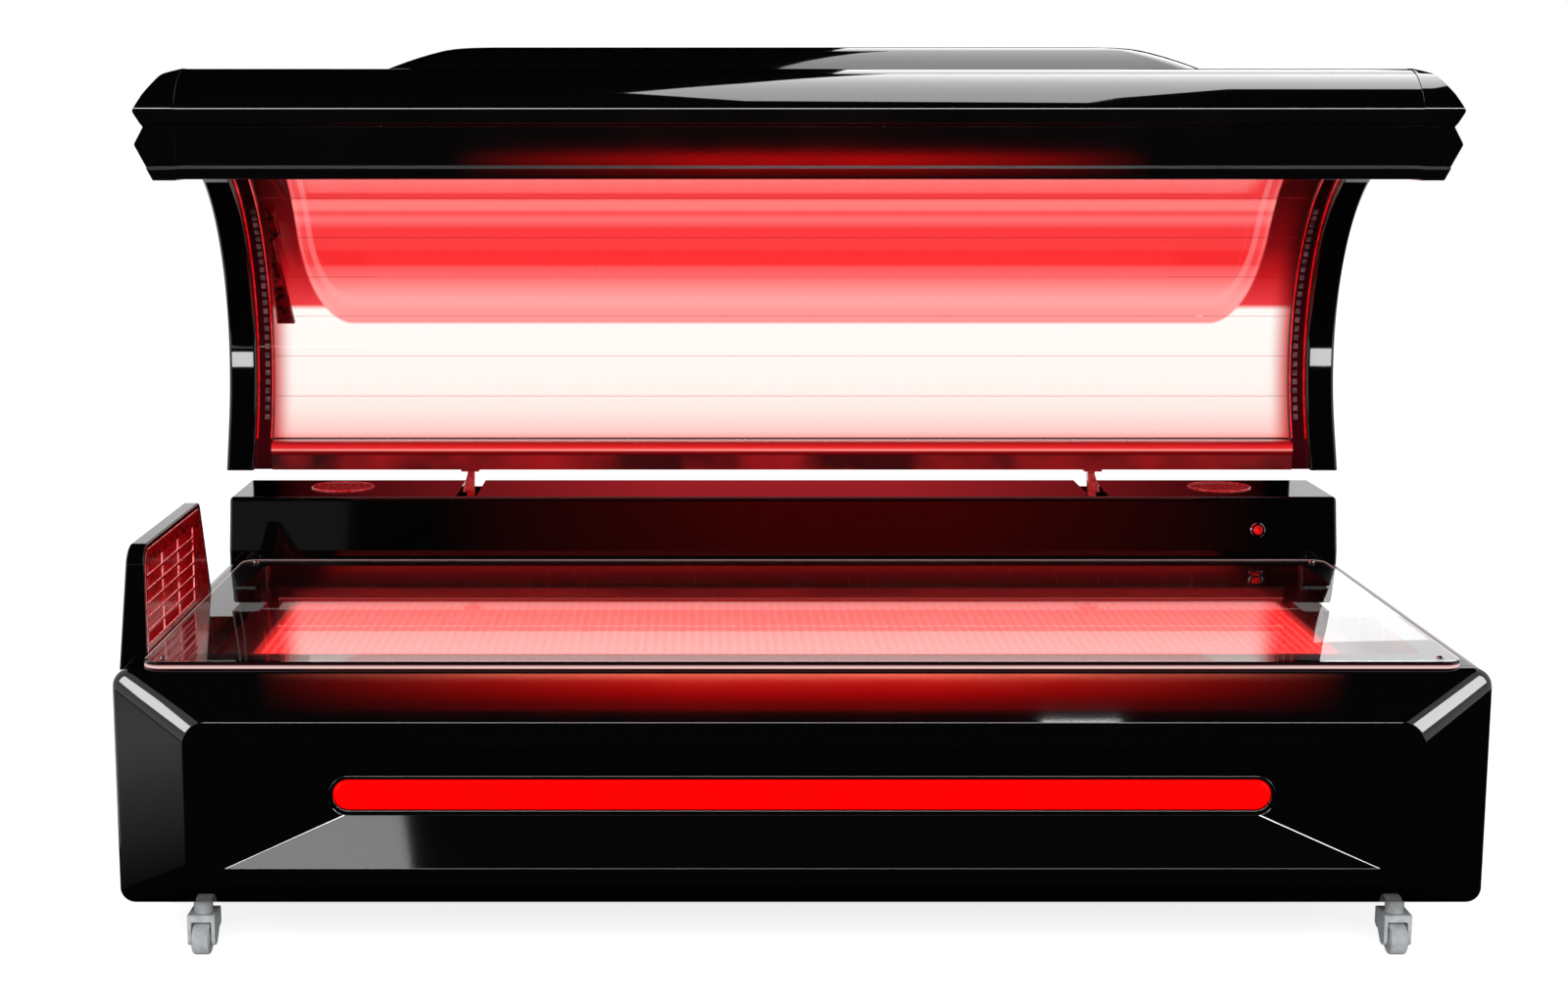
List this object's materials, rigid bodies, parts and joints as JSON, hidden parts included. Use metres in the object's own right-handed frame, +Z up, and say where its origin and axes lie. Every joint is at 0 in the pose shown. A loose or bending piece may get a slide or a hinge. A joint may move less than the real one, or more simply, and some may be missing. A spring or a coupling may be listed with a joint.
{
  "type": "red light therapy bed",
  "caption": "Clamshell red light therapy bed: gloss black base on braked casters with a lit clear lying plate, a rear console and a hinged arc canopy lined with light panels.",
  "frame": {"origin": "on the floor, under the middle of the bed's outer box", "axes": "+X along the bed towards the end with the start button, -Y towards the side a person gets in from, +Z up"},
  "size_m": [2.2, 1.23, 1.478],
  "materials": {
    "gloss_black": "piano black gloss",
    "satin_black": "satin moulded",
    "clear_acrylic": "polished clear",
    "red_lens": "diffusing, lit red",
    "light_panel": "board with red lamps",
    "reflector": "bright sheet",
    "chassis_tube": "powder coated",
    "zinc_steel": "zinc plated",
    "chrome": "polished",
    "caster_metal": "grey paint",
    "caster_grey": "grey moulded"
  },
  "bodies": {
    "base": {"chassis_frame": "chassis_tube", "floor_pan": "chassis_tube", "front_fascia": "gloss_black", "light_bar_bezel": "satin_black", "light_bar_lens": "red_lens", "left_end_cover": "gloss_black", "right_end_cover": "gloss_black", "rear_cover": "satin_black", "mains_inlet": "satin_black", "bed_rim": "satin_black", "bed_reflector_tray": "reflector", "bed_light_panel": "light_panel", "bed_acrylic": "clear_acrylic", "power_supply": "reflector", "console_housing": "gloss_black", "left_speaker_grille": "satin_black", "right_speaker_grille": "satin_black", "left_speaker_driver": "satin_black", "right_speaker_driver": "satin_black", "start_button_ring": "chrome", "vent_housing": "gloss_black", "vent_grille": "gloss_black", "fan_frame": "zinc_steel", "left_hinge_bracket": "zinc_steel", "right_hinge_bracket": "zinc_steel", "left_hinge_pin": "chrome", "right_hinge_pin": "chrome", "left_gas_cylinder": "zinc_steel", "right_gas_cylinder": "zinc_steel"},
    "canopy": {"canopy_shell": "gloss_black", "canopy_acrylic": "clear_acrylic", "canopy_light_panel_lower": "light_panel", "canopy_light_panel_upper": "light_panel", "left_canopy_end_frame": "gloss_black", "right_canopy_end_frame": "gloss_black", "canopy_lower_rail": "gloss_black", "perforated_strip": "red_lens", "canopy_beam": "gloss_black", "left_beam_cap": "gloss_black", "right_beam_cap": "gloss_black", "canopy_hood": "gloss_black", "left_hinge_arm": "chrome", "right_hinge_arm": "chrome"},
    "start_button": {"start_button": "red_lens"},
    "fan": {"fan_rotor": "satin_black"},
    "left_gas_rod": {"left_gas_rod": "chrome"},
    "right_gas_rod": {"right_gas_rod": "chrome"},
    "front_left_fork": {"front_left_caster_fork": "caster_metal"},
    "front_left_wheel": {"front_left_caster_wheel": "caster_grey"},
    "front_left_brake": {"front_left_caster_brake": "caster_grey"},
    "front_right_fork": {"front_right_caster_fork": "caster_metal"},
    "front_right_wheel": {"front_right_caster_wheel": "caster_grey"},
    "front_right_brake": {"front_right_caster_brake": "caster_grey"},
    "rear_left_fork": {"rear_left_caster_fork": "caster_metal"},
    "rear_left_wheel": {"rear_left_caster_wheel": "caster_grey"},
    "rear_left_brake": {"rear_left_caster_brake": "caster_grey"},
    "rear_right_fork": {"rear_right_caster_fork": "caster_metal"},
    "rear_right_wheel": {"rear_right_caster_wheel": "caster_grey"},
    "rear_right_brake": {"rear_right_caster_brake": "caster_grey"}
  },
  "joints": [
    {"name": "canopy_hinge", "type": "hinge", "parent": "base", "child": "canopy", "pos_m": [0, 0.44, 0.565], "axis": [1, 0, 0], "range_deg": [0, 35]},
    {"name": "left_gas_rod_slide", "type": "slide", "parent": "base", "child": "left_gas_rod", "axis": [0, 0, 1], "range_m": [-0.0425, 0]},
    {"name": "right_gas_rod_slide", "type": "slide", "parent": "base", "child": "right_gas_rod", "axis": [0, 0, 1], "range_m": [-0.0425, 0]},
    {"name": "start_button_press", "type": "slide", "parent": "base", "child": "start_button", "axis": [0, 0.9779, -0.2091], "range_m": [0, 0.003], "stiffness_N_per_m": 500},
    {"name": "fan_spin", "type": "hinge", "parent": "base", "child": "fan", "pos_m": [-1.052, -0.44, 0.4227], "axis": [0, 1, 0], "continuous": true},
    {"name": "front_left_swivel", "type": "hinge", "parent": "base", "child": "front_left_fork", "pos_m": [-0.98, -0.49, 0.09], "axis": [0, 0, 1], "continuous": true},
    {"name": "front_left_roll", "type": "hinge", "parent": "front_left_fork", "child": "front_left_wheel", "pos_m": [-0.98, -0.506, 0.026], "axis": [1, 0, 0], "continuous": true},
    {"name": "front_left_brake_press", "type": "hinge", "parent": "front_left_fork", "child": "front_left_brake", "pos_m": [-0.98, -0.47, 0.047], "axis": [-1, 0, 0], "range_deg": [0, 20]},
    {"name": "front_right_swivel", "type": "hinge", "parent": "base", "child": "front_right_fork", "pos_m": [0.98, -0.49, 0.09], "axis": [0, 0, 1], "continuous": true},
    {"name": "front_right_roll", "type": "hinge", "parent": "front_right_fork", "child": "front_right_wheel", "pos_m": [0.98, -0.506, 0.026], "axis": [1, 0, 0], "continuous": true},
    {"name": "front_right_brake_press", "type": "hinge", "parent": "front_right_fork", "child": "front_right_brake", "pos_m": [0.98, -0.47, 0.047], "axis": [-1, 0, 0], "range_deg": [0, 20]},
    {"name": "rear_left_swivel", "type": "hinge", "parent": "base", "child": "rear_left_fork", "pos_m": [-0.98, 0.49, 0.09], "axis": [0, 0, 1], "continuous": true},
    {"name": "rear_left_roll", "type": "hinge", "parent": "rear_left_fork", "child": "rear_left_wheel", "pos_m": [-0.98, 0.474, 0.026], "axis": [1, 0, 0], "continuous": true},
    {"name": "rear_left_brake_press", "type": "hinge", "parent": "rear_left_fork", "child": "rear_left_brake", "pos_m": [-0.98, 0.51, 0.047], "axis": [-1, 0, 0], "range_deg": [0, 20]},
    {"name": "rear_right_swivel", "type": "hinge", "parent": "base", "child": "rear_right_fork", "pos_m": [0.98, 0.49, 0.09], "axis": [0, 0, 1], "continuous": true},
    {"name": "rear_right_roll", "type": "hinge", "parent": "rear_right_fork", "child": "rear_right_wheel", "pos_m": [0.98, 0.474, 0.026], "axis": [1, 0, 0], "continuous": true},
    {"name": "rear_right_brake_press", "type": "hinge", "parent": "rear_right_fork", "child": "rear_right_brake", "pos_m": [0.98, 0.51, 0.047], "axis": [-1, 0, 0], "range_deg": [0, 20]}
  ],
  "couplings": [
    {"joint": "left_gas_rod_slide", "follows": "canopy_hinge", "m_per_rad": -0.068915},
    {"joint": "right_gas_rod_slide", "follows": "canopy_hinge", "m_per_rad": -0.068915}
  ]
}
